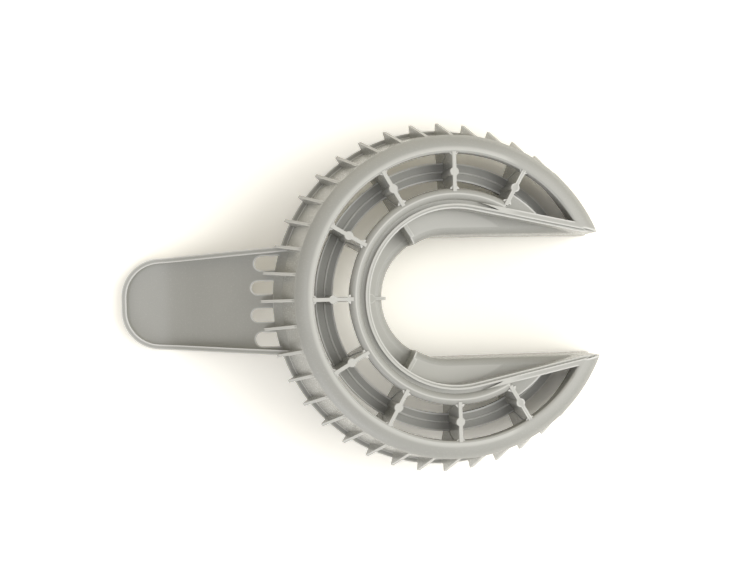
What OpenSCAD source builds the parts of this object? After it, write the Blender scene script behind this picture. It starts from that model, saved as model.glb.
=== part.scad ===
// Pump filter for a drawer dishwasher: a half-moon ring with an open throat, radial bars,
// outer strainer ribs and a scoop handle, moulded in one piece.
// It is modelled upright about the ring's axis and then laid down as it rests on a table:
// on the pad of its handle and on the two foot corners at the ends of its legs.

/* [Ring] */
// Height of the ring from its foot to its top face
ring_h = 23.5; // [20:0.5:30]
// Outer radius of the wall at the foot
foot_r = 48.2; // [47:0.1:52]
// Outer radius of the rim at the top of the wall
rim_r = 44.4; // [43:0.1:46]
// How far the rim's outer edge lies below the top face
rim_drop = 2; // [1.5:0.1:4]
// Thickness of the walls
wall_t = 1.6; // [1.2:0.1:2.2]
// Height of the foot band at the bottom of the wall
foot_h = 2.6; // [2:0.1:4]
// How far the foot band stands out from the wall
foot_step = 0.4; // [0.3:0.1:0.8]
// Height of the flat flange round the foot band
flange_h = 1.2; // [0.8:0.1:1.6]
// How far the flange stands out from the foot band
flange_w = 1.2; // [0.8:0.1:1.6]

/* [Windows] */
// Radius of the windows' outer edge
window_r = 39.25; // [38:0.05:40.5]
// Depth of the lip that hangs from the windows' outer edge
window_lip_h = 3; // [2:0.1:5]
// Rounding of the windows' outer edge
window_round = 0.6; // [0.3:0.1:1]
// Width of the flat crown between that edge and the rim's curve
crown_w = 0.5; // [0.3:0.1:1]

/* [Collar] */
// Inner radius of the collar's wall
collar_r = 24.8; // [23:0.1:26]
// Outer radius of the collar's rolled rim
collar_rim_r = 29.65; // [28.5:0.05:31]
// Thickness of the collar's rolled rim
collar_rim_t = 2; // [1.8:0.1:2.5]
// Thickness of the lip inside the groove
lip_t = 0.6; // [0.4:0.1:0.9]
// Outer radius of the groove between lip and rolled rim
groove_r = 26.45; // [26.45:0.05:27]
// Depth of the groove
groove_depth = 1.2; // [0.8:0.1:1.4]
// Depth of the ledge that runs along the inside of the collar and legs
inner_ledge_drop = 0.8; // [0.5:0.1:1.5]
// Width of that ledge
inner_ledge_w = 0.7; // [0.4:0.1:1]
// Angle by which each leg leans towards the middle
leg_angle = 11.6; // [9:0.1:13]

/* [Throat] */
// Half the width of the throat
throat_w = 17.2; // [15:0.1:18]
// How far the round end of the throat lies behind the ring's axis
throat_back = 1; // [0:0.1:2]
// Rounding along the throat's upper edge
throat_round = 2.2; // [1:0.1:3]
// Height of the flange at the back of the throat
back_flange_z = 9.8; // [6:0.1:13]
// Height of the flange along the legs
leg_flange_z = 16.6; // [14.5:0.1:20]
// Angle from the open end at which the leg flange steps down to the back flange
step_angle = 122; // [105:1:140]
// Width of the raised edge along that step
step_rib_w = 1.1; // [0.8:0.1:2]
// Height of the raised edge along that step
step_rib_h = 0.35; // [0.2:0.05:0.8]
// How far the catch at the back stands into the throat
catch_reach = 0.8; // [0.4:0.1:1.5]
// Width of the catch
catch_w = 0.95; // [0.7:0.05:1.4]
// Diameter of the round seat behind the catch
catch_d = 2.8; // [1.6:0.1:3.2]
// Height of the catch above the flange
catch_h = 0.35; // [0.2:0.05:0.8]

/* [Bars] */
// Number of radial bars
bar_count = 9; // [5:2:9]
// Angle from one bar to the next
bar_pitch = 30; // [20:1:30]
// Width of a bar and its web
bar_w = 1.05; // [0.8:0.05:1.6]
// Extra thickness of a web's lower part on each side
web_step = 0.15; // [0.1:0.05:0.3]
// Height of the webs' lower edge above the foot
web_z = 5; // [3:0.5:8]
// Radius of the circle on which the bosses stand
boss_ring_r = 34.1; // [33.5:0.1:35]
// Diameter of a boss
boss_d = 2.4; // [1.8:0.1:3.2]
// Leg of the small corner fillets at the ends of the bars
corner_leg = 0.7; // [0.4:0.1:1.2]

/* [Lower ring] */
// Inner radius of the lower ring
ledge_in_r = 32.7; // [31.5:0.1:33.5]
// Outer radius of the lower ring
ledge_out_r = 37.7; // [36.5:0.1:38]
// Height of the lower ring's upper face
ledge_z = 12.2; // [10.5:0.1:14]
// Thickness of the lower ring
ledge_t = 1.7; // [1.2:0.1:2.4]
// Rounding of its upper edges
ledge_round = 0.45; // [0.3:0.05:0.7]
// Radius of the bead along the lower ring
bead_r = 35.1; // [34.5:0.1:35.8]
// Height of that bead
bead_h = 0.35; // [0.2:0.05:0.6]
// Depth of the corner floors below the top face
floor_drop = 2.6; // [1.5:0.1:5]

/* [Strainer ribs] */
// Angle from one strainer rib to the next
rib_pitch = 9; // [9:1:15]
// Number of strainer ribs on each side of the middle one
rib_side_count = 16; // [4:1:16]
// Thickness of a strainer rib
rib_t = 0.85; // [0.7:0.05:1.6]
// How far the ribs' lower tips stand out past the foot
rib_out = 1.95; // [1:0.05:5]
// Height of the tips above the foot
rib_tip_z = 3.1; // [2:0.1:5]

/* [Handle] */
// Distance from the ring's axis to the handle's tip
handle_reach = 90.9; // [84:0.1:110]
// How far the tip's underside lies below the ring's foot
handle_drop = 24.4; // [20:0.1:30]
// Width of the handle where its round tip begins
handle_tip_w = 26.9; // [25:0.1:28]
// Width of the handle where it meets the ring
handle_root_w = 31; // [30:0.1:33]
// Corner radius of the tip
tip_round = 11.4; // [8:0.1:12.5]
// Thickness of the handle's plate
plate_t = 2.1; // [1.6:0.1:3]
// Length of the flat pad at the tip
pad_len = 13.2; // [11:0.1:15]
// Length over which the pad bends into the slope
pad_bend = 11; // [8:0.5:13]
// Length over which the slope bends into the bars at the ring
root_bend = 18; // [12:0.5:20]
// Slope of the bars at the ring
root_slope = 30; // [15:1:40]
// Height from which the wall flares out over the handle's root
apron_h = 7; // [5:0.5:9]
// Height of the plate's underside where it meets the foot
root_z = -1.1; // [-1.6:0.1:-0.5]
// How far the gussets on the bars stand out past the ribs' tips
gusset_out = 1.4; // [0.5:0.1:2]
// Width of the raised lip round the handle
handle_lip_w = 1.5; // [1.2:0.1:2]
// Height of that lip above the plate at the tip
handle_lip_h = 1.8; // [1.2:0.1:3]
// Height of the side walls above the plate where they meet the ring
side_wall_h = 3.2; // [2.4:0.1:4.5]

/* [Slots] */
// Distance from the ring's axis to the slots' round ends
slot_end_r = 54; // [53:0.1:56]
// Inner edge of the two inner slots, from the middle
slot_in_a = 2.1; // [1.6:0.1:2.4]
// Outer edge of the two inner slots
slot_in_b = 5.7; // [5.4:0.1:6.4]
// Inner edge of the two outer slots
slot_out_a = 8.8; // [8.6:0.1:9.6]
// Outer edge of the two outer slots
slot_out_b = 12.8; // [12:0.1:13.3]

/* [Hidden] */
// Facets of the round features
$fn = 120;
// Steps along the handle's curve
curve_steps = 14;
// Small overlap that fuses neighbouring features
fuse = 0.3;
// A size larger than the whole filter, for cutting blocks
big = 200;

// Rim and wall
rim_z = ring_h - rim_drop;
crown_r = window_r + window_round + crown_w;
rim_sweep = 2 * atan(rim_drop / (rim_r - crown_r));
rim_arc_r = (rim_r - crown_r) / sin(rim_sweep);
band_r = foot_r - flange_w;
wall_foot_r = band_r - foot_step;
wall_slope = (wall_foot_r - rim_r) / (rim_z - foot_h);

// Radius that the strainer ribs' tips reach
rib_tip_r = foot_r + rib_out;

// Leg ends: where the throat meets the foot, which also touches the table at rest
corner_x = sqrt(foot_r * foot_r - throat_w * throat_w);
rest_tilt = atan2(handle_drop, handle_reach + corner_x);
pad_slope = tan(rest_tilt);
rest_left = handle_reach * cos(rest_tilt) + handle_drop * sin(rest_tilt);
rest_right = corner_x * cos(rest_tilt);
rest_mid = (rest_left - rest_right) / 2;
rest_lift = corner_x * sin(rest_tilt);

// Length of the straight legs, from the round to past the foot
leg_run = foot_r;
// Angle of the first bar
bar_first = 180 - bar_pitch * (bar_count - 1) / 2;
floor_z = ring_h - floor_drop;
// How far the wall at the throat's step stands back from the edge of the leg flange
step_inset = 0.1;
// Angle at which the back of the throat starts, inside that wall
back_start = step_angle - 1.5;

// Handle section: the end of the pad, and where the slots start, on the plate's underside
pad_end_x = -handle_reach + pad_len;
pad_end_z = -handle_drop + pad_len * pad_slope;
slot_end_z = root_z - (slot_end_r - foot_r) * tan(root_slope);
// How far the handle runs in past the foot, so that its sides reach the round wall
root_run = 6;

// Point of a cubic curve with ends p and s and handles q and r
function curve_point(p, q, r, s, t) =
    pow(1 - t, 3) * p + 3 * t * pow(1 - t, 2) * q + 3 * t * t * (1 - t) * r + pow(t, 3) * s;

// Radius of the wall's outer face at height z
function wall_r(z) = rim_r + (rim_z - z) * wall_slope;

function backwards(v) = [for (i = [len(v) - 1:-1:0]) v[i]];

// Outline of the collar and legs, grown by g
module collar_outline(g) {
    r = collar_r + g;
    tx = r * sin(leg_angle);
    ty = r * cos(leg_angle);
    ex = tx + leg_run * cos(leg_angle);
    ey = ty - leg_run * sin(leg_angle);
    circle(r);
    polygon([[tx, -ty], [ex, -ey], [ex, ey], [tx, ty]]);
}

// Everything inside the collar and legs, through the whole height
module collar_core(g) {
    translate([0, 0, -1]) linear_extrude(ring_h + 2) collar_outline(g);
}

// Section of the ring as if it were solid: flange, foot band, wall and rounded rim
module outer_section() {
    polygon([
        [0, 0], [foot_r, 0], [foot_r, flange_h], [band_r, flange_h], [band_r, foot_h],
        [wall_r(foot_h), foot_h], [rim_r, rim_z], [crown_r, ring_h], [0, ring_h]
    ]);
    intersection() {
        translate([crown_r, ring_h - rim_arc_r]) circle(rim_arc_r);
        translate([crown_r, rim_z]) square([rim_r - crown_r, rim_drop]);
    }
}

// Section of the space inside the wall, open through the windows above
module inner_section() {
    lip = window_lip_h;
    polygon([
        [0, -1], [wall_r(-1) - wall_t, -1],
        [rim_r - wall_t * 1.2, rim_z - wall_t * 0.5],
        [crown_r, ring_h - wall_t], [window_r + wall_t * 0.8, ring_h - lip],
        [window_r, ring_h - lip], [window_r, ring_h + 1], [0, ring_h + 1]
    ]);
    translate([window_r - fuse, ring_h - window_round])
    difference() {
        square([window_round + fuse, window_round + 1]);
        translate([window_round + fuse, 0]) circle(window_round);
    }
}

// Rim, outer wall and foot band
module outer_wall() {
    rotate_extrude()
    difference() {
        outer_section();
        inner_section();
    }
}

// Solid that ends halfway through the outer wall, to trim what runs into the wall.
// It reaches past the foot and the top, so only its slanting side cuts.
module wall_middle() {
    half = wall_t / 2;
    over = 2;
    rotate_extrude()
    polygon([
        [0, -over], [foot_r - half, -over], [foot_r - half, 0], [wall_r(foot_h) - half, foot_h],
        [rim_r - half, rim_z - half], [crown_r - crown_w / 2, ring_h],
        [crown_r - crown_w / 2 - over, ring_h + over],
        [0, ring_h + over]
    ]);
}

// One strainer rib, lying along +X
module strainer_rib() {
    translate([0, rib_t / 2, 0])
    rotate([90, 0, 0])
    linear_extrude(rib_t)
    polygon([
        [rim_r - 0.5, rim_z - 0.2], [rim_r + 0.15, rim_z - 0.5],
        [rib_tip_r, rib_tip_z + 0.3], [rib_tip_r - 0.3, rib_tip_z],
        [foot_r - 0.1, rib_tip_z - 0.4], [foot_r - 0.1, flange_h / 2],
        [wall_foot_r - wall_t / 2, flange_h / 2]
    ]);
}

// Flare that runs from the wall out over the flange, between the ribs at the handle's sides
module root_apron() {
    span = 2 * rib_pitch;
    inner = wall_foot_r - wall_t * 0.4;
    edge = foot_r - 0.1;
    rotate([0, 0, 180 - span])
    rotate_extrude(angle = 2 * span)
    polygon([[inner, flange_h / 2], [edge, flange_h / 2], [edge, flange_h + 0.1], [inner, apron_h]]);
}

// Gusset that carries a strainer rib down onto one of the handle's bars, lying along +X
module bar_gusset() {
    top = root_z + plate_t;
    out = rib_out + gusset_out;
    translate([0, rib_t / 2, 0])
    rotate([90, 0, 0])
    linear_extrude(rib_t)
    polygon([
        [wall_foot_r - wall_t / 2, root_z + plate_t / 2], [wall_foot_r - wall_t / 2, rib_tip_z],
        [rib_tip_r, rib_tip_z + 0.3], [foot_r + out, top - out * tan(root_slope)],
        [foot_r + out, top - (out + 1) * tan(root_slope)]
    ]);
}

module strainer_ribs() {
    for (side = [-1:1])
        rotate([0, 0, 180 + side * rib_pitch])
        bar_gusset();
    for (i = [-rib_side_count:rib_side_count])
        rotate([0, 0, 180 + i * rib_pitch])
        strainer_rib();
}

// Collar wall with the legs that run on from it; a ledge runs along its inside
module collar() {
    difference() {
        linear_extrude(ring_h) collar_outline(wall_t);
        translate([0, 0, ring_h - inner_ledge_drop])
            linear_extrude(ring_h) collar_outline(0);
        collar_core(-inner_ledge_w);
    }
}

// Rolled rim round the collar, between the two outermost bars: a round bead on a flat flange
module collar_rim() {
    roll = (collar_rim_r - groove_r) / 2;
    low = ring_h - collar_rim_t;
    inner = collar_r + wall_t / 2;
    rotate([0, 0, bar_first])
    rotate_extrude(angle = 360 - 2 * bar_first) {
        translate([inner, low])
            square([collar_rim_r - roll - inner, collar_rim_t - groove_depth]);
        intersection() {
            translate([collar_rim_r - roll, ring_h - roll]) circle(roll);
            translate([inner, low]) square([roll * 4, collar_rim_t + 1]);
        }
    }
}

// Groove between the lip and the rolled rim: it closes where the legs leave the round
module groove() {
    translate([0, 0, ring_h - groove_depth])
    linear_extrude(groove_depth + 1)
    difference() {
        circle(groove_r);
        collar_outline(lip_t);
    }
}

// Section of the throat: an upright wall, a rounded edge and a flange
module throat_section(z) {
    r = throat_round;
    translate([throat_w, 0]) square([wall_t, z - r]);
    translate([throat_w + r, z - wall_t]) square([collar_r + wall_t - throat_w - r, wall_t]);
    intersection() {
        translate([throat_w, z - r]) square(r);
        translate([throat_w + r, z - r])
        difference() {
            circle(r);
            circle(r - wall_t);
        }
    }
}

// The throat's round end between two angles, at one flange height and moved outwards by g
module throat_round_part(z, a, b, g) {
    translate([-throat_back, 0, 0])
    rotate([0, 0, a])
    rotate_extrude(angle = b - a)
    translate([g, 0])
    throat_section(z);
}

// The straight run along one leg
module throat_leg(z) {
    translate([-throat_back, 0, 0])
    rotate([90, 0, 90])
    linear_extrude(throat_back + foot_r)
    throat_section(z);
}

// Wall that closes the step between the two flange heights, with its raised edge
module throat_step() {
    foot_start = throat_w + wall_t / 2;
    rib_start = throat_w + throat_round;
    translate([-throat_back, 0, 0])
    rotate([0, 0, step_angle])
    translate([0, -step_rib_w - step_inset, 0]) {
        translate([foot_start, 0, back_flange_z - wall_t / 2])
            cube([collar_r + fuse - foot_start, step_rib_w, leg_flange_z - back_flange_z]);
        translate([rib_start, 0, leg_flange_z - wall_t])
            cube([collar_r + fuse - rib_start, step_rib_w, wall_t + step_rib_h]);
    }
}

module throat() {
    intersection() {
        union() {
            throat_round_part(back_flange_z, back_start, 360 - back_start, step_inset / 2);
            for (side = [0, 1])
                mirror([0, side, 0]) {
                    throat_round_part(leg_flange_z, 90, step_angle, 0);
                    throat_leg(leg_flange_z);
                    throat_step();
                }
        }
        collar_core(wall_t / 2);
    }
}

// What is cut away between the legs
module throat_opening() {
    translate([-throat_back, 0, -1]) {
        cylinder(h = ring_h + 2, r = throat_w);
        translate([0, -throat_w, 0]) cube([big, 2 * throat_w, ring_h + 2]);
    }
}

// Upright plate whose faces lie t apart, with an outline in radius and height
module web_plate(t, outline) {
    translate([0, t / 2, 0])
    rotate([90, 0, 0])
    linear_extrude(t)
    polygon(outline);
}

// One bar with the web under it, whose lower part is a little thicker, and its boss
module bar() {
    inner = collar_r + wall_t / 2;
    foot = [
        [inner, web_z + 1], [boss_ring_r, web_z], [ledge_out_r, web_z],
        [foot_r - 5, 1.5], [wall_foot_r - wall_t / 2, 0.8], [wall_foot_r - wall_t / 2, 3]
    ];
    web_plate(bar_w, concat(foot, [
        [rim_r - 0.4, rim_z - 1], [window_r + wall_t, ring_h - wall_t / 2],
        [window_r + fuse, ring_h], [collar_rim_r - collar_rim_t / 2, ring_h],
        [collar_rim_r - collar_rim_t / 2, ring_h - 1], [inner, ring_h - 2]
    ]));
    web_plate(bar_w + 2 * web_step, concat(foot, [
        [rim_r - 0.4, rim_z - 1.5], [window_r + wall_t, ring_h - 4.2],
        [ledge_out_r, ledge_z - 1], [ledge_in_r, ledge_z - 1],
        [collar_rim_r - 0.5, ring_h - 5.5], [inner, ring_h - 5]
    ]));
    translate([boss_ring_r, 0, web_z]) cylinder(h = ring_h - web_z, d = boss_d);
    bar_corner(window_r, -1);
    bar_corner(collar_rim_r, 1);
}

// Small fillets on both sides where a bar meets a round edge
module bar_corner(r, dir) {
    c = corner_leg;
    translate([0, 0, ring_h - c - 0.4])
    linear_extrude(c)
    polygon([
        [r - dir * fuse, -bar_w / 2 - c], [r, -bar_w / 2 - c], [r + dir * c, -bar_w / 2],
        [r + dir * c, bar_w / 2], [r, bar_w / 2 + c], [r - dir * fuse, bar_w / 2 + c]
    ]);
}

module bars() {
    for (i = [0:bar_count - 1])
        rotate([0, 0, bar_first + i * bar_pitch])
        bar();
}

// Ring between the webs, with round upper edges and a fine bead along its middle
module lower_ring() {
    r = ledge_round;
    rotate_extrude() {
        polygon([
            [ledge_in_r, ledge_z - ledge_t], [ledge_out_r, ledge_z - ledge_t],
            [ledge_out_r, ledge_z - r], [ledge_out_r - r, ledge_z],
            [bead_r + 0.3, ledge_z], [bead_r + 0.15, ledge_z + bead_h],
            [bead_r - 0.15, ledge_z + bead_h], [bead_r - 0.3, ledge_z],
            [ledge_in_r + r, ledge_z], [ledge_in_r, ledge_z - r]
        ]);
        translate([ledge_in_r + r, ledge_z - r]) circle(r);
        translate([ledge_out_r - r, ledge_z - r]) circle(r);
    }
}

// Floors that fill the sharp corners between the outermost bars and the legs
module corner_floors() {
    for (side = [0, 1])
        mirror([0, side, 0])
        rotate_extrude(angle = bar_first)
        translate([collar_r, floor_z - wall_t]) square([ledge_in_r - collar_r, wall_t]);
}

// Outline of the handle, drawn in by g all round
module handle_outline(g) {
    half_tip = handle_tip_w / 2;
    half_root = handle_root_w / 2;
    r = tip_round;
    cx = -handle_reach + r;
    cy = half_tip - r;
    x1 = -foot_r + root_run;
    lean = atan((half_root - half_tip) / (x1 - cx));
    tx = cx - (r - g) * sin(lean);
    ty = cy + (r - g) * cos(lean);
    for (side = [-1, 1])
        translate([cx, side * cy]) circle(r - g);
    translate([-handle_reach + g, -cy]) square([r, 2 * cy]);
    polygon([[tx, -ty], [x1, g - half_root], [x1, half_root - g], [tx, ty]]);
}

// The underside of the plate seen from the side, lifted by one height at the tip and another at the root
function plate_line(lift_tip, lift_root) =
    let (
        p = [pad_end_x, pad_end_z],
        q = p + [pad_bend / 2, pad_bend / 2 * pad_slope],
        s = [-slot_end_r, slot_end_z],
        r = s - [root_bend / 2, root_bend / 2 * tan(root_slope)]
    )
    concat(
        [[-handle_reach - 1, -handle_drop - pad_slope + lift_tip]],
        [for (i = [0:curve_steps]) curve_point(p, q, r, s, i / curve_steps)
            + [0, lift_tip + (lift_root - lift_tip) * i / curve_steps]],
        [[-foot_r + root_run, root_z + root_run * tan(root_slope) + lift_root]]
    );

// Wide solid between the plate's underside and a raised copy of it
module plate_band(lift_tip, lift_root) {
    translate([0, big / 2, 0])
    rotate([90, 0, 0])
    linear_extrude(big)
    polygon(concat(plate_line(0, 0), backwards(plate_line(lift_tip, lift_root))));
}

module handle() {
    difference() {
        union() {
            intersection() {
                translate([0, 0, -big / 2]) linear_extrude(big) handle_outline(0);
                plate_band(plate_t, plate_t);
            }
            intersection() {
                translate([0, 0, -big / 2])
                linear_extrude(big)
                difference() {
                    handle_outline(0);
                    handle_outline(handle_lip_w);
                }
                plate_band(plate_t + handle_lip_h, plate_t + side_wall_h);
            }
        }
        for (side = [-1, 1]) {
            slot(side, slot_in_a, slot_in_b);
            slot(side, slot_out_a, slot_out_b);
        }
        translate([0, 0, -big / 2]) cylinder(h = big, r = wall_foot_r - wall_t / 2);
    }
}

// One slot, from its round end on the slots' end circle to the foot of the ring
module slot(side, a, b) {
    w = b - a;
    y = (a + b) / 2;
    x = -sqrt(slot_end_r * slot_end_r - y * y) + w / 2;
    translate([x, side * y, -big / 2])
    linear_extrude(big) {
        circle(w / 2);
        translate([0, -w / 2]) square([-foot_r + 2 - x, w]);
    }
}

// The whole ring, with the throat cut out of it
module ring() {
    difference() {
        union() {
            difference() {
                union() {
                    outer_wall();
                    collar_rim();
                    bars();
                    lower_ring();
                    corner_floors();
                }
                collar_core(fuse);
            }
            intersection() {
                wall_middle();
                union() {
                    collar();
                    throat();
                }
            }
        }
        throat_opening();
        groove();
    }
}

// Small catch at the back of the throat: a rib that stands into the throat, and a round seat behind it
module throat_catch() {
    translate([-throat_back, 0, 0])
    rotate([0, 0, 180]) {
        translate([throat_w - catch_reach, -catch_w / 2, back_flange_z - wall_t])
            cube([catch_reach + throat_round + catch_d / 2, catch_w, wall_t + catch_h]);
        translate([throat_w + throat_round + catch_d / 2, 0, back_flange_z - wall_t])
            cylinder(h = wall_t + catch_h, d = catch_d);
    }
}

module filter_body() {
    color("#a4a59d")
    translate([rest_mid, 0, rest_lift])
    rotate([0, rest_tilt, 0]) {
        ring();
        throat_catch();
        strainer_ribs();
        root_apron();
        handle();
    }
}

filter_body();
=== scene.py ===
"""Pump filter of a drawer dishwasher: one grey moulding lying on a white table, seen from straight above.

The filter's solid comes from model.glb. Here it gets its plastic, and the table, the light and the camera
are set round it.
"""

import math

import bmesh
import bpy
from bpy.props import FloatProperty, FloatVectorProperty, PointerProperty
from mathutils import Euler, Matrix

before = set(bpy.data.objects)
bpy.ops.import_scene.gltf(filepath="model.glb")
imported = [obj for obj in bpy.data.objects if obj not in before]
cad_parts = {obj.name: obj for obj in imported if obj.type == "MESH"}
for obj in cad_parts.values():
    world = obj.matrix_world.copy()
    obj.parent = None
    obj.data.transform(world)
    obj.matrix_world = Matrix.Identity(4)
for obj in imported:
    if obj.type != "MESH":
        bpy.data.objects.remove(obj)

bl_info = {
    "name": "Pump filter",
    "version": (1, 0, 0),
    "blender": (4, 5, 0),
    "location": "View3D > Sidebar > Pump filter",
    "description": "Finishes the moulded body of a dishwasher's pump filter and sets it on a table",
    "category": "Object",
}

MM = 0.001
BODY_NODE = "filter_body"

# Each mask below is nothing at the first value of its range and full at the second.
# Open share of the space inside a point of the surface: it is smaller near a convex edge.
EDGE_OPENNESS = (0.97, 0.6)
# Cosine between a face and the ring's axis: for a face that is square to it, and for one that looks upwards.
SQUARE_COSINE = (0.985, 0.997)
UPWARD_COSINE = (0.1, 0.5)
# Upward part of the normal on the handle's upper face, which its side walls don't reach.
HANDLE_FACE_UP = (0.86, 0.89)
# Height of the flat top faces where a sheen is painted, from under the bars' tops.
TOP_BAND = (-0.3 * MM, -0.1 * MM)
# Distance from the middle of the lower ring's rounded edges, along which a glint is painted.
LEDGE_STRIP = (0.4 * MM, 0.15 * MM)
# Half the width over which the painted sheen on the throat's flanges fades at their radius.
THROAT_FADE = 0.3 * MM
# Length over which the painted sheen on the top faces fades into the legs' strips, and the share of it that
# is left there.
LEG_FADE = 4 * MM
LEG_SHARE = 0.15

# How far the grain moves the roughness either way, and how much smoother the places with the painted
# highlight and sheen are.
GRAIN_ROUGHNESS = 0.06
HIGHLIGHT_SMOOTHNESS = 0.06

# Each soft light: the property that holds its level, the angle of its middle from straight up and its
# bearing from +X towards +Y in degrees, its tightness, and its tint. At a tightness of 8 a light falls to
# half at 24 degrees from its middle, and at 50 it does so at 10 degrees.
SOFT_LIGHTS = (
    ("window_level", 50, 0, 8, (1.0, 1.0, 0.98)),
    ("ceiling_level", 15, 180, 50, (0.97, 0.97, 1.05)),
    ("front_level", 70, 234, 12, (1.0, 1.0, 1.02)),
    ("back_level", 70, 110, 12, (1.05, 0.97, 0.77)),
)

WHITE = (1, 1, 1, 1)
SENSOR_WIDTH_MM = 36


def linear(hex_colour):
    """An sRGB hex colour as linear red, green and blue."""
    parts = [int(hex_colour[i:i + 2], 16) / 255 for i in (1, 3, 5)]
    return tuple(c / 12.92 if c <= 0.04045 else ((c + 0.055) / 1.055) ** 2.4 for c in parts)


def add_node(material, kind, settings=None, inputs=None, links=None):
    """Adds a node, sets its properties and input values, and links its inputs to other nodes' outputs."""
    node = material.node_tree.nodes.new(kind)
    for name, value in (settings or {}).items():
        setattr(node, name, value)
    for name, value in (inputs or {}).items():
        node.inputs[name].default_value = value
    for name, output in (links or {}).items():
        material.node_tree.links.new(output, node.inputs[name])
    return node


class MouldedPlastic(bpy.types.PropertyGroup):
    """Grey polypropylene as it leaves a spark-eroded mould."""

    colour: FloatVectorProperty(
        name="Colour", description="Pigment of the plastic", subtype="COLOR",
        size=3, min=0, max=1, default=linear("#b5b4ad"),
    )
    dark_colour: FloatVectorProperty(
        name="Darker colour", description="Pigment where the melt flowed last", subtype="COLOR",
        size=3, min=0, max=1, default=linear("#adaca5"),
    )
    # Paler colour painted on the convex edges and the flat top faces as a highlight and a sheen.
    highlight_colour: FloatVectorProperty(
        name="Lustre colour", description="Plastic at the rubbed edges and the ground faces",
        subtype="COLOR", size=3, min=0, max=1, default=linear("#d0cfc8"),
    )
    # Share of that painted highlight and sheen.
    brilliance: FloatProperty(
        name="Brilliance", description="How far the rubbed places turn to their own colour", subtype="FACTOR",
        min=0, max=1, default=0.85,
    )
    # Near-white colour painted as a glint along the edges that look upwards.
    glint_colour: FloatVectorProperty(
        name="Edge colour", description="Plastic whitened along the sharp upper edges", subtype="COLOR",
        size=3, min=0, max=1, default=linear("#f4f3ee"),
    )
    # Share of that painted glint on the edges other than the lower ring's.
    glint_share: FloatProperty(
        name="Edge gleam", description="How far the sharp upper edges turn to their own colour",
        subtype="FACTOR", min=0, max=1, default=0.5,
    )
    # Width of the strip along a convex edge where the highlight and the glint are painted.
    edge_width: FloatProperty(
        name="Edge width", description="Width of the rubbed strip along an edge", subtype="DISTANCE",
        unit="LENGTH", min=0.05 * MM, max=3 * MM, default=0.7 * MM,
    )
    edge_radius: FloatProperty(
        name="Edge radius", description="Rounding of the moulding's edges", subtype="DISTANCE",
        unit="LENGTH", min=0, max=1 * MM, default=0.15 * MM,
    )
    ring_lean: FloatProperty(
        name="Ring lean", description="Lean of the ring's axis from upright, towards the open side",
        subtype="ANGLE", unit="ROTATION", default=math.radians(10.18),
    )
    ring_centre: FloatVectorProperty(
        name="Ring centre", description="A point on the ring's axis", subtype="TRANSLATION",
        unit="LENGTH", size=3, default=(28.57 * MM, 0, 29.31 * MM),
    )
    top_height: FloatProperty(
        name="Top height", description="Height of the bars' top faces over the ring's centre",
        subtype="DISTANCE", unit="LENGTH", default=1.8 * MM,
    )
    legs_from: FloatProperty(
        name="Legs from", description="Where the bars end and the legs' plain top strips begin",
        subtype="DISTANCE", unit="LENGTH", default=43 * MM,
    )
    ledge_inner: FloatProperty(
        name="Lower ring inside", description="Radius to the middle of the lower ring's inner rounded edge",
        subtype="DISTANCE", unit="LENGTH", min=0, max=100 * MM, default=32.9 * MM,
    )
    ledge_outer: FloatProperty(
        name="Lower ring outside", description="Radius to the middle of the lower ring's outer rounded edge",
        subtype="DISTANCE", unit="LENGTH", min=0, max=100 * MM, default=37.55 * MM,
    )
    ledge_depth: FloatProperty(
        name="Lower ring depth", description="Depth under the ring's centre below which the lower ring lies",
        subtype="DISTANCE", unit="LENGTH", min=0, max=100 * MM, default=8.5 * MM,
    )
    throat_radius: FloatProperty(
        name="Throat radius", description="Radius within which the flanges of the throat lie",
        subtype="DISTANCE", unit="LENGTH", min=0, max=100 * MM, default=23.8 * MM,
    )
    # Share of the painted sheen on the throat's flanges.
    flange_brilliance: FloatProperty(
        name="Flange wear", description="How bright the throat's flanges are next to the bars' tops",
        subtype="FACTOR", min=0, max=1, default=0.55,
    )
    bend_start: FloatProperty(
        name="Bend start", description="Where the handle's pad begins to curve upwards",
        subtype="DISTANCE", unit="LENGTH", default=-60 * MM,
    )
    bend_end: FloatProperty(
        name="Bend end", description="Where the handle's slope has reached its full angle",
        subtype="DISTANCE", unit="LENGTH", default=-46 * MM,
    )
    handle_slope: FloatProperty(
        name="Handle slope", description="Angle of the handle's slope above the table",
        subtype="ANGLE", unit="ROTATION", default=math.radians(25.7),
    )
    roughness: FloatProperty(
        name="Roughness", description="Mean roughness of the satin skin", subtype="FACTOR",
        min=0, max=1, default=0.26,
    )
    grain: FloatProperty(
        name="Grain", description="Width of one grain of the mould's texture", subtype="DISTANCE",
        unit="LENGTH", min=0.05 * MM, max=2 * MM, default=0.35 * MM,
    )
    grain_height: FloatProperty(
        name="Grain height", description="Height of one grain", subtype="DISTANCE",
        unit="LENGTH", min=0, max=0.2 * MM, default=0.012 * MM,
    )
    flow_size: FloatProperty(
        name="Flow marks", description="Width of the faint clouds that the melt leaves",
        subtype="DISTANCE", unit="LENGTH", min=1 * MM, max=100 * MM, default=14 * MM,
    )


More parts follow.
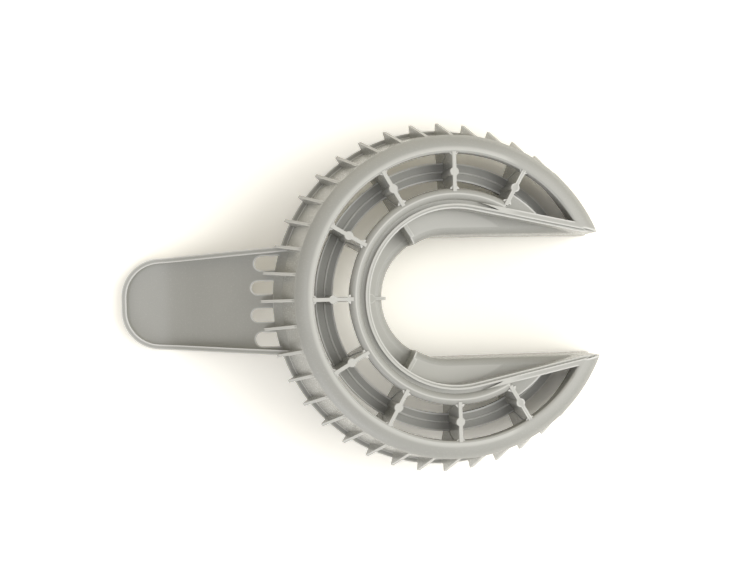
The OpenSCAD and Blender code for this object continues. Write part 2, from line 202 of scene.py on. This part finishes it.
class TableStage(bpy.types.PropertyGroup):
    """White table, four soft lights, an even room and the camera above."""

    table_size: FloatProperty(
        name="Table size", description="Side of the square table top", subtype="DISTANCE",
        unit="LENGTH", min=0.5, max=20, default=6.0,
    )
    table_colour: FloatVectorProperty(
        name="Table colour", description="Colour that the table throws back on the filter",
        subtype="COLOR", size=3, min=0, max=1, default=linear("#e6e4dc"),
    )
    seen_colour: FloatVectorProperty(
        name="Seen table colour", description="Colour of the table as the camera and reflections see it",
        subtype="COLOR", size=3, min=0, max=1, default=linear("#fffcf4"),
    )
    seen_brightness: FloatProperty(
        name="Seen table brightness", description="How much brighter than its colour the table is seen",
        min=0, max=3, default=1.5,
    )
    window_level: FloatProperty(
        name="Window", description="Brightness of the wide soft light at the open side", min=0, default=3.75,
    )
    ceiling_level: FloatProperty(
        name="Ceiling light", description="Brightness of the soft light overhead", min=0, default=2.2,
    )
    front_level: FloatProperty(
        name="Front light", description="Brightness of the low soft light in front of the handle",
        min=0, default=3.3,
    )
    back_level: FloatProperty(
        name="Back light", description="Brightness of the low soft light behind", min=0, default=1.4,
    )
    room_level: FloatProperty(
        name="Room", description="Brightness of the even light from the whole room", min=0, default=0.1,
    )
    camera_height: FloatProperty(
        name="Camera height", description="Height of the lens above the table", subtype="DISTANCE",
        unit="LENGTH", min=0.1, max=5, default=360 * MM,
    )
    camera_x: FloatProperty(
        name="Camera X", description="Place of the lens along the handle", subtype="DISTANCE",
        unit="LENGTH", default=6.35 * MM,
    )
    camera_y: FloatProperty(
        name="Camera Y", description="Place of the lens across the handle", subtype="DISTANCE",
        unit="LENGTH", default=-0.47 * MM,
    )
    camera_lean: FloatProperty(
        name="Camera lean", description="Lean of the lens away from straight down", subtype="ANGLE",
        unit="ROTATION", default=math.radians(0.324),
    )
    camera_turn: FloatProperty(
        name="Camera turn", description="Turn of the picture on the table", subtype="ANGLE",
        unit="ROTATION", default=math.radians(-1.42),
    )
    lens: FloatProperty(
        name="Lens", description="Focal length in millimetres on a 36 mm sensor",
        min=10, max=300, default=58.05,
    )


def ring_axis(look):
    """Direction of the ring's axis, upwards."""
    return (math.sin(look.ring_lean), 0, math.cos(look.ring_lean))


def ring_places(material, look, place, normal):
    """A point's radius from the ring's axis, its height along the axis over the ring's centre, and the
    cosine between its normal and the axis."""
    axis = ring_axis(look)
    offset = add_node(
        material, "ShaderNodeVectorMath", {"operation": "SUBTRACT"}, {1: look.ring_centre}, {0: place},
    ).outputs["Vector"]
    across = add_node(
        material, "ShaderNodeVectorMath", {"operation": "CROSS_PRODUCT"}, {1: axis}, {0: offset},
    ).outputs["Vector"]
    radius = add_node(
        material, "ShaderNodeVectorMath", {"operation": "LENGTH"}, None, {0: across},
    ).outputs["Value"]
    height = add_node(
        material, "ShaderNodeVectorMath", {"operation": "DOT_PRODUCT"}, {1: axis}, {0: offset},
    ).outputs["Value"]
    facing = add_node(
        material, "ShaderNodeVectorMath", {"operation": "DOT_PRODUCT"}, {1: axis}, {0: normal},
    ).outputs["Value"]
    return radius, height, facing


def lower_ring_edges(material, look, radius, height):
    """Mask of the two rounded edges of the lower ring under the windows, where a glint is painted."""
    strips = []
    for edge in (look.ledge_inner, look.ledge_outer):
        past = add_node(
            material, "ShaderNodeMath", {"operation": "SUBTRACT"}, {1: edge}, {0: radius},
        ).outputs[0]
        away = add_node(material, "ShaderNodeMath", {"operation": "ABSOLUTE"}, None, {0: past}).outputs[0]
        strip = add_node(
            material, "ShaderNodeMapRange", {"interpolation_type": "SMOOTHSTEP"},
            {"From Min": LEDGE_STRIP[0], "From Max": LEDGE_STRIP[1]}, {"Value": away},
        ).outputs["Result"]
        strips.append(strip)
    either = add_node(
        material, "ShaderNodeMath", {"operation": "MAXIMUM"}, None, {0: strips[0], 1: strips[1]},
    ).outputs[0]
    deep = add_node(
        material, "ShaderNodeMath", {"operation": "LESS_THAN"}, {1: -look.ledge_depth}, {0: height},
    ).outputs[0]
    return add_node(
        material, "ShaderNodeMath", {"operation": "MULTIPLY"}, None, {0: either, 1: deep},
    ).outputs[0]


def shiny_faces(material, look, along, radius, height, facing):
    """Mask of the ring's flat faces that are square to its axis, where a sheen is painted: the tops of the
    bars and bosses and the rim's crown, and, less bright, the flanges in the throat."""
    square = add_node(
        material, "ShaderNodeMapRange", {"interpolation_type": "SMOOTHSTEP"},
        {"From Min": SQUARE_COSINE[0], "From Max": SQUARE_COSINE[1]}, {"Value": facing},
    ).outputs["Result"]
    in_throat = add_node(
        material, "ShaderNodeMapRange", None,
        {
            "From Min": look.throat_radius + THROAT_FADE, "From Max": look.throat_radius - THROAT_FADE,
            "To Min": 0.0, "To Max": look.flange_brilliance,
        },
        {"Value": radius},
    ).outputs["Result"]
    high = add_node(
        material, "ShaderNodeMapRange", None,
        {"From Min": look.top_height + TOP_BAND[0], "From Max": look.top_height + TOP_BAND[1]},
        {"Value": height},
    ).outputs["Result"]
    before_legs = add_node(
        material, "ShaderNodeMapRange", None,
        {
            "From Min": look.legs_from + LEG_FADE, "From Max": look.legs_from,
            "To Min": LEG_SHARE, "To Max": 1.0,
        },
        {"Value": along},
    ).outputs["Result"]
    at_top = add_node(
        material, "ShaderNodeMath", {"operation": "MULTIPLY"}, None, {0: high, 1: before_legs},
    ).outputs[0]
    either = add_node(
        material, "ShaderNodeMath", {"operation": "MAXIMUM"}, None, {0: in_throat, 1: at_top},
    ).outputs[0]
    return add_node(
        material, "ShaderNodeMath", {"operation": "MULTIPLY"}, None, {0: either, 1: square},
    ).outputs[0]


def convex_edges(material, look):
    """Mask of the moulding's convex edges, where a highlight is painted."""
    openness = add_node(
        material, "ShaderNodeAmbientOcclusion", {"inside": True, "only_local": True, "samples": 16},
        {"Distance": look.edge_width},
    ).outputs["AO"]
    return add_node(
        material, "ShaderNodeMapRange", {"interpolation_type": "SMOOTHSTEP"},
        {"From Min": EDGE_OPENNESS[0], "From Max": EDGE_OPENNESS[1]}, {"Value": openness},
    ).outputs["Result"]


def edge_glints(material, look, on_edge, on_ledge, shiny, facing):
    """Mask of the edges that look upwards, where a white glint is painted. The lower ring's own edges are
    full, and the faces with the painted sheen are left out."""
    faint = add_node(
        material, "ShaderNodeMath", {"operation": "MULTIPLY"}, {1: look.glint_share}, {0: on_edge},
    ).outputs[0]
    edge = add_node(
        material, "ShaderNodeMath", {"operation": "MAXIMUM"}, None, {0: faint, 1: on_ledge},
    ).outputs[0]
    upward = add_node(
        material, "ShaderNodeMapRange", {"interpolation_type": "SMOOTHSTEP"},
        {"From Min": UPWARD_COSINE[0], "From Max": UPWARD_COSINE[1]}, {"Value": facing},
    ).outputs["Result"]
    upper_edge = add_node(
        material, "ShaderNodeMath", {"operation": "MULTIPLY"}, None, {0: upward, 1: edge},
    ).outputs[0]
    not_shiny = add_node(
        material, "ShaderNodeMath", {"operation": "SUBTRACT"}, {0: 1.0}, {1: shiny},
    ).outputs[0]
    return add_node(
        material, "ShaderNodeMath", {"operation": "MULTIPLY"}, None, {0: upper_edge, 1: not_shiny},
    ).outputs[0]


def edge_rounding(material, look, glinting):
    """Normal of the moulding's rounded edges, turned towards the ring's axis where the glint is painted, so
    that these edges catch more light as well.
    """
    rounded = add_node(
        material, "ShaderNodeBevel", {"samples": 6}, {"Radius": look.edge_radius},
    ).outputs["Normal"]
    return add_node(
        material, "ShaderNodeMix", {"data_type": "VECTOR"}, {"B": ring_axis(look)},
        {"Factor": glinting, "A": rounded},
    ).outputs["Result"]


def eased_bend(material, look, along, normal, rounded):
    """The handle's upper face turns from its flat pad into its slope on one long curve: there the shading
    follows that curve, and everywhere else it follows the rounded edges."""
    angle = add_node(
        material, "ShaderNodeMapRange", {"interpolation_type": "SMOOTHSTEP"},
        {
            "From Min": look.bend_start, "From Max": look.bend_end,
            "To Min": 0.0, "To Max": look.handle_slope,
        },
        {"Value": along},
    ).outputs["Result"]
    sine = add_node(material, "ShaderNodeMath", {"operation": "SINE"}, None, {0: angle}).outputs[0]
    cosine = add_node(material, "ShaderNodeMath", {"operation": "COSINE"}, None, {0: angle}).outputs[0]
    backwards = add_node(
        material, "ShaderNodeMath", {"operation": "MULTIPLY"}, {1: -1.0}, {0: sine},
    ).outputs[0]
    curve = add_node(
        material, "ShaderNodeCombineXYZ", None, None, {"X": backwards, "Z": cosine},
    ).outputs["Vector"]
    upwards = add_node(material, "ShaderNodeSeparateXYZ", None, None, {"Vector": normal}).outputs["Z"]
    on_top = add_node(
        material, "ShaderNodeMapRange", None,
        {"From Min": HANDLE_FACE_UP[0], "From Max": HANDLE_FACE_UP[1]}, {"Value": upwards},
    ).outputs["Result"]
    on_handle = add_node(
        material, "ShaderNodeMath", {"operation": "LESS_THAN"}, {1: look.bend_end}, {0: along},
    ).outputs[0]
    share = add_node(
        material, "ShaderNodeMath", {"operation": "MULTIPLY"}, None, {0: on_top, 1: on_handle},
    ).outputs[0]
    return add_node(
        material, "ShaderNodeMix", {"data_type": "VECTOR"}, None,
        {"Factor": share, "A": rounded, "B": curve},
    ).outputs["Result"]


def moulded_polypropylene(look):
    """Injection-moulded polypropylene, pigmented grey: a soft satin sheen, a fine even grain from the
    spark-eroded mould, faint clouds where the melt flowed, and edges that are rounded by the tool. A paler
    highlight is painted on the convex edges and a sheen on the flat top faces, which are also a little
    smoother, and a white glint is painted on the upper edges."""
    material = bpy.data.materials.new("moulded_grey_polypropylene")
    material.use_nodes = True
    material.node_tree.nodes.clear()
    place = add_node(material, "ShaderNodeTexCoord").outputs["Object"]
    along = add_node(material, "ShaderNodeSeparateXYZ", None, None, {"Vector": place}).outputs["X"]
    normal = add_node(material, "ShaderNodeNewGeometry").outputs["Normal"]
    clouds = add_node(
        material, "ShaderNodeTexNoise", {"noise_dimensions": "3D"},
        {"Scale": 1 / look.flow_size, "Detail": 3.0, "Roughness": 0.55}, {"Vector": place},
    ).outputs["Fac"]
    grain = add_node(
        material, "ShaderNodeTexNoise", {"noise_dimensions": "3D"},
        {"Scale": 1 / look.grain, "Detail": 2.0, "Roughness": 0.6}, {"Vector": place},
    ).outputs["Fac"]

    radius, height, facing = ring_places(material, look, place, normal)
    shiny = shiny_faces(material, look, along, radius, height, facing)
    on_edge = convex_edges(material, look)
    edge_or_shiny = add_node(
        material, "ShaderNodeMath", {"operation": "MAXIMUM"}, None, {0: on_edge, 1: shiny},
    ).outputs[0]
    # Where the highlight and the sheen are painted; the roughness is also a little lower there.
    highlighted = add_node(
        material, "ShaderNodeMath", {"operation": "MULTIPLY"}, {1: look.brilliance}, {0: edge_or_shiny},
    ).outputs[0]
    on_ledge = lower_ring_edges(material, look, radius, height)
    glinting = edge_glints(material, look, on_edge, on_ledge, shiny, facing)

    colour = add_node(
        material, "ShaderNodeMix", {"data_type": "RGBA"},
        {"A": (*look.dark_colour, 1), "B": (*look.colour, 1)}, {"Factor": clouds},
    ).outputs["Result"]
    # Painted highlight and sheen first, then the painted glint on the upper edges.
    for mask, paler in ((highlighted, look.highlight_colour), (glinting, look.glint_colour)):
        colour = add_node(
            material, "ShaderNodeMix", {"data_type": "RGBA"}, {"B": (*paler, 1)},
            {"Factor": mask, "A": colour},
        ).outputs["Result"]

    grained = add_node(
        material, "ShaderNodeMapRange", None,
        {"To Min": look.roughness - GRAIN_ROUGHNESS, "To Max": look.roughness + GRAIN_ROUGHNESS},
        {"Value": grain},
    ).outputs["Result"]
    roughness = add_node(
        material, "ShaderNodeMath", {"operation": "MULTIPLY_ADD"}, {1: -HIGHLIGHT_SMOOTHNESS},
        {0: highlighted, 2: grained},
    ).outputs[0]
    rounded = edge_rounding(material, look, glinting)
    shaped = eased_bend(material, look, along, normal, rounded)
    bumpy = add_node(
        material, "ShaderNodeBump", None, {"Strength": 1.0, "Distance": look.grain_height},
        {"Height": grain, "Normal": shaped},
    ).outputs["Normal"]
    skin = add_node(
        material, "ShaderNodeBsdfPrincipled", None, {"IOR": 1.49, "Metallic": 0.0},
        {"Base Color": colour, "Roughness": roughness, "Normal": bumpy},
    )
    add_node(material, "ShaderNodeOutputMaterial", None, None, {"Surface": skin.outputs["BSDF"]})
    return material


def white_laminate(stage):
    """Matt white laminate, seen so bright that it is pure white outside the shadows, where a warm white is
    left. The light that it throws back on the filter is its plain colour's."""
    material = bpy.data.materials.new("matt_white_laminate")
    material.use_nodes = True
    material.node_tree.nodes.clear()
    rays = add_node(material, "ShaderNodeLightPath")
    seen = rays.outputs["Is Camera Ray"]
    for kind in ("Is Glossy Ray", "Is Transmission Ray"):
        seen = add_node(
            material, "ShaderNodeMath", {"operation": "MAXIMUM"}, None, {0: seen, 1: rays.outputs[kind]},
        ).outputs[0]
    bright = [stage.seen_brightness * c for c in stage.seen_colour]
    colour = add_node(
        material, "ShaderNodeMix", {"data_type": "RGBA"},
        {"A": (*stage.table_colour, 1), "B": (*bright, 1)}, {"Factor": seen},
    ).outputs["Result"]
    skin = add_node(material, "ShaderNodeBsdfDiffuse", None, None, {"Color": colour})
    add_node(material, "ShaderNodeOutputMaterial", None, None, {"Surface": skin.outputs["BSDF"]})
    return material


class PUMPFILTER_OT_finish_body(bpy.types.Operator):
    """Give the moulded body its plastic"""

    bl_idname = "pumpfilter.finish_body"
    bl_label = "Finish the filter body"

    def execute(self, context):
        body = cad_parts[BODY_NODE]
        material = moulded_polypropylene(context.scene.moulded_plastic)
        for slot in body.material_slots:
            slot.material = material
        return {"FINISHED"}


def add_table(stage):
    """Flat table top with its surface at the height on which the filter rests."""
    mesh = bpy.data.meshes.new("table_top")
    build = bmesh.new()
    bmesh.ops.create_grid(build, x_segments=1, y_segments=1, size=stage.table_size / 2)
    build.to_mesh(mesh)
    build.free()
    table = bpy.data.objects.new("table_top", mesh)
    table.data.materials.append(white_laminate(stage))
    bpy.context.scene.collection.objects.link(table)


def soft_glow(world, direction, zenith, bearing, tightness):
    """Share of a round soft light's full level in each direction of the room."""
    zenith = math.radians(zenith)
    bearing = math.radians(bearing)
    middle = (
        math.sin(zenith) * math.cos(bearing),
        math.sin(zenith) * math.sin(bearing),
        math.cos(zenith),
    )
    cosine = add_node(
        world, "ShaderNodeVectorMath", {"operation": "DOT_PRODUCT"}, {1: middle}, {0: direction},
    ).outputs["Value"]
    fall = add_node(
        world, "ShaderNodeMath", {"operation": "MULTIPLY_ADD"}, {1: tightness, 2: -tightness}, {0: cosine},
    ).outputs[0]
    return add_node(world, "ShaderNodeMath", {"operation": "EXPONENT"}, None, {0: fall}).outputs[0]


def light_room(stage):
    """Soft lights round the table in an even room, which the camera sees as white behind the table."""
    world = bpy.data.worlds.new("bright_room")
    world.use_nodes = True
    world.node_tree.nodes.clear()
    direction = add_node(world, "ShaderNodeTexCoord").outputs["Generated"]
    room = stage.room_level
    total = add_node(
        world, "ShaderNodeCombineXYZ", None, {"X": room, "Y": room, "Z": room},
    ).outputs["Vector"]
    for level_name, zenith, bearing, tightness, tint in SOFT_LIGHTS:
        level = getattr(stage, level_name)
        glow = soft_glow(world, direction, zenith, bearing, tightness)
        total = add_node(
            world, "ShaderNodeVectorMath", {"operation": "MULTIPLY_ADD"}, {1: [level * c for c in tint]},
            {0: glow, 2: total},
        ).outputs["Vector"]
    rays = add_node(world, "ShaderNodeLightPath")
    seen = add_node(
        world, "ShaderNodeMix", {"data_type": "RGBA"}, {"B": WHITE},
        {"Factor": rays.outputs["Is Camera Ray"], "A": total},
    ).outputs["Result"]
    shine = add_node(world, "ShaderNodeBackground", None, {"Strength": 1.0}, {"Color": seen})
    add_node(world, "ShaderNodeOutputWorld", None, None, {"Surface": shine.outputs["Background"]})
    bpy.context.scene.world = world


def add_camera(stage):
    """Camera above the table, looking straight down."""
    camera = bpy.data.cameras.new("above")
    camera.lens = stage.lens
    camera.sensor_width = SENSOR_WIDTH_MM
    camera.sensor_fit = "HORIZONTAL"
    camera.clip_start = 10 * MM
    holder = bpy.data.objects.new("above", camera)
    holder.location = (stage.camera_x, stage.camera_y, stage.camera_height)
    holder.rotation_euler = Euler((stage.camera_lean, 0, stage.camera_turn))
    bpy.context.scene.collection.objects.link(holder)
    bpy.context.scene.camera = holder


class PUMPFILTER_OT_set_stage(bpy.types.Operator):
    """Set the table, the lights, the room and the camera"""

    bl_idname = "pumpfilter.set_stage"
    bl_label = "Set the stage"

    def execute(self, context):
        stage = context.scene.table_stage
        add_table(stage)
        light_room(stage)
        add_camera(stage)
        context.scene.view_settings.view_transform = "Standard"
        return {"FINISHED"}


class PUMPFILTER_PT_panel(bpy.types.Panel):
    """Sizes, colours and buttons of the pump filter and its stage"""

    bl_label = "Pump filter"
    bl_idname = "PUMPFILTER_PT_panel"
    bl_space_type = "VIEW_3D"
    bl_region_type = "UI"
    bl_category = "Pump filter"

    def draw(self, context):
        layout = self.layout
        groups = (
            (context.scene.moulded_plastic, PUMPFILTER_OT_finish_body),
            (context.scene.table_stage, PUMPFILTER_OT_set_stage),
        )
        for group, operator in groups:
            for name in group.bl_rna.properties.keys():
                if name not in ("rna_type", "name"):
                    layout.prop(group, name)
            layout.operator(operator.bl_idname)


CLASSES = (
    MouldedPlastic,
    TableStage,
    PUMPFILTER_OT_finish_body,
    PUMPFILTER_OT_set_stage,
    PUMPFILTER_PT_panel,
)


def register():
    for cls in CLASSES:
        bpy.utils.register_class(cls)
    bpy.types.Scene.moulded_plastic = PointerProperty(type=MouldedPlastic)
    bpy.types.Scene.table_stage = PointerProperty(type=TableStage)


def unregister():
    del bpy.types.Scene.table_stage
    del bpy.types.Scene.moulded_plastic
    for cls in reversed(CLASSES):
        bpy.utils.unregister_class(cls)


def main():
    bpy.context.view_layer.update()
    register()
    bpy.ops.pumpfilter.finish_body()
    bpy.ops.pumpfilter.set_stage()


if __name__ == "__main__":
    main()
